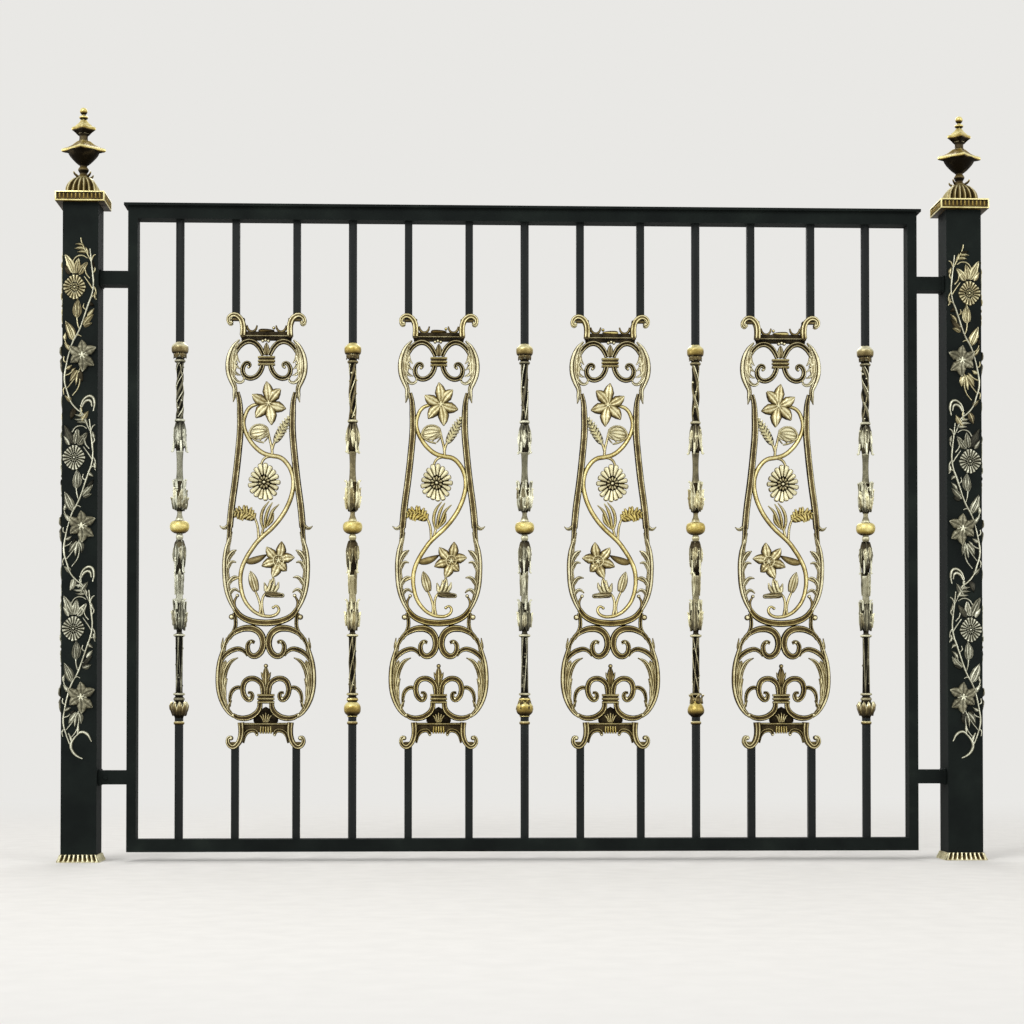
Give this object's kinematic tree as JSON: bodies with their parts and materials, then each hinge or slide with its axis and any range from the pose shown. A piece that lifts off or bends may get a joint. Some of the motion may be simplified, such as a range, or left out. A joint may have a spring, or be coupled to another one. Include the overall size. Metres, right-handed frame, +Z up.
{
  "type": "window grille",
  "caption": "Ornamental window grille: a tube frame with turned balusters and cast scroll panels, hung between two box posts with caps and finials.",
  "frame": {"origin": "middle of the left post's flat foot, on the sill", "axes": "+X along the sill towards the right post, +Y from the front to the back, +Z up"},
  "size_m": [1.486, 0.078, 1.2005],
  "materials": {
    "black_paint": "satin black paint on steel tube",
    "scroll_panel_casting": "dark bronze base with dry-brushed pale brass on the raised parts",
    "baluster_casting": "dark bronze base with dry-brushed pale brass on the raised parts",
    "vine_casting": "pewter and brass dry-brushed over black",
    "collar_gold": "antique gold paint on cast iron",
    "cap_gold": "antique gold paint on cast iron",
    "foot_casting": "black paint, with the ribs rubbed to grey"
  },
  "bodies": {
    "root": {"baluster_1_bars": "black_paint", "baluster_1_casting": "baluster_casting", "baluster_2_bars": "black_paint", "baluster_2_casting": "baluster_casting", "baluster_3_bars": "black_paint", "baluster_3_casting": "baluster_casting", "baluster_4_bars": "black_paint", "baluster_4_casting": "baluster_casting", "baluster_5_bars": "black_paint", "baluster_5_casting": "baluster_casting", "bottom_rail": "black_paint", "left_brackets": "black_paint", "left_finial": "cap_gold", "left_post": "black_paint", "left_post_cap": "cap_gold", "left_post_collar": "foot_casting", "left_stile": "black_paint", "left_vine_back": "vine_casting", "left_vine_front": "vine_casting", "left_vine_outer": "vine_casting", "lower_collars": "collar_gold", "panel_bars_1": "black_paint", "panel_bars_2": "black_paint", "panel_bars_3": "black_paint", "panel_bars_4": "black_paint", "right_brackets": "black_paint", "right_finial": "cap_gold", "right_post": "black_paint", "right_post_cap": "cap_gold", "right_post_collar": "foot_casting", "right_stile": "black_paint", "right_vine_back": "vine_casting", "right_vine_front": "vine_casting", "right_vine_outer": "vine_casting", "scroll_panel_1": "scroll_panel_casting", "scroll_panel_2": "scroll_panel_casting", "scroll_panel_3": "scroll_panel_casting", "scroll_panel_4": "scroll_panel_casting", "top_rail": "black_paint", "top_strip": "black_paint", "upper_collars": "collar_gold"}
  },
  "joints": []
}
